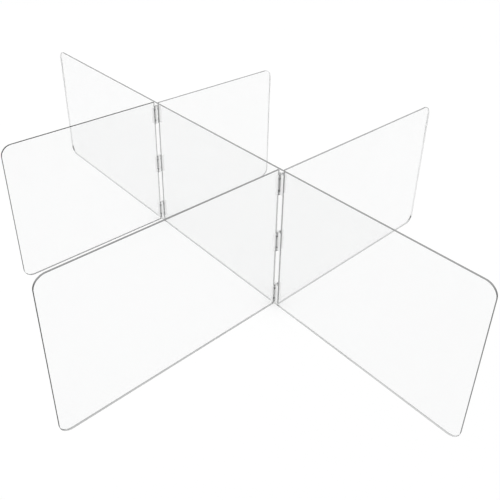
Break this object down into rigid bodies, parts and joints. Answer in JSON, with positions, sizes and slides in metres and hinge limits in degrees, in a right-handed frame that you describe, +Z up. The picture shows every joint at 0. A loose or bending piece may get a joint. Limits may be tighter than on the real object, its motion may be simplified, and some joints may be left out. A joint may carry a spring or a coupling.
{
  "type": "desk privacy panel",
  "caption": "Clear free-standing table divider: a long upright sheet with folding side wings on knuckle hinges, screening seats on both sides.",
  "frame": {"origin": "middle of the long panel's bottom edge, on the table top", "axes": "+X along the long panel to its near end, past the front wings, -Y towards the left wings and +Y towards the right wings, +Z up"},
  "size_m": [1.67, 1.2066, 0.406],
  "materials": {
    "clear_sheet": "clear polished acrylic",
    "clear_hinge": "clear moulded acrylic, bonding pads milky with adhesive",
    "hinge_pin": "satin grey moulded rod"
  },
  "bodies": {
    "long_panel": {"long_panel": "clear_sheet", "front_left_top_panel_leaf": "clear_hinge", "front_left_top_pin": "hinge_pin", "front_left_middle_panel_leaf": "clear_hinge", "front_left_middle_pin": "hinge_pin", "front_left_bottom_panel_leaf": "clear_hinge", "front_left_bottom_pin": "hinge_pin", "front_right_top_panel_leaf": "clear_hinge", "front_right_top_pin": "hinge_pin", "front_right_middle_panel_leaf": "clear_hinge", "front_right_middle_pin": "hinge_pin", "front_right_bottom_panel_leaf": "clear_hinge", "front_right_bottom_pin": "hinge_pin", "rear_left_top_panel_leaf": "clear_hinge", "rear_left_top_pin": "hinge_pin", "rear_left_middle_panel_leaf": "clear_hinge", "rear_left_middle_pin": "hinge_pin", "rear_left_bottom_panel_leaf": "clear_hinge", "rear_left_bottom_pin": "hinge_pin", "rear_right_top_panel_leaf": "clear_hinge", "rear_right_top_pin": "hinge_pin", "rear_right_middle_panel_leaf": "clear_hinge", "rear_right_middle_pin": "hinge_pin", "rear_right_bottom_panel_leaf": "clear_hinge", "rear_right_bottom_pin": "hinge_pin"},
    "front_left_wing": {"front_left_wing": "clear_sheet", "front_left_top_wing_leaf": "clear_hinge", "front_left_middle_wing_leaf": "clear_hinge", "front_left_bottom_wing_leaf": "clear_hinge"},
    "front_right_wing": {"front_right_wing": "clear_sheet", "front_right_top_wing_leaf": "clear_hinge", "front_right_middle_wing_leaf": "clear_hinge", "front_right_bottom_wing_leaf": "clear_hinge"},
    "rear_left_wing": {"rear_left_wing": "clear_sheet", "rear_left_top_wing_leaf": "clear_hinge", "rear_left_middle_wing_leaf": "clear_hinge", "rear_left_bottom_wing_leaf": "clear_hinge"},
    "rear_right_wing": {"rear_right_wing": "clear_sheet", "rear_right_top_wing_leaf": "clear_hinge", "rear_right_middle_wing_leaf": "clear_hinge", "rear_right_bottom_wing_leaf": "clear_hinge"}
  },
  "joints": [
    {"name": "front_left_fold", "type": "hinge", "parent": "long_panel", "child": "front_left_wing", "pos_m": [0.295, -0.0055, 0.203], "axis": [0, 0, 1], "range_deg": [0, 90]},
    {"name": "front_right_fold", "type": "hinge", "parent": "long_panel", "child": "front_right_wing", "pos_m": [0.295, 0.0055, 0.203], "axis": [0, 0, 1], "range_deg": [0, 55]},
    {"name": "rear_left_fold", "type": "hinge", "parent": "long_panel", "child": "rear_left_wing", "pos_m": [-0.225, -0.0055, 0.203], "axis": [0, 0, 1], "range_deg": [0, 90]},
    {"name": "rear_right_fold", "type": "hinge", "parent": "long_panel", "child": "rear_right_wing", "pos_m": [-0.225, 0.0055, 0.203], "axis": [0, 0, 1], "range_deg": [0, 90]}
  ]
}
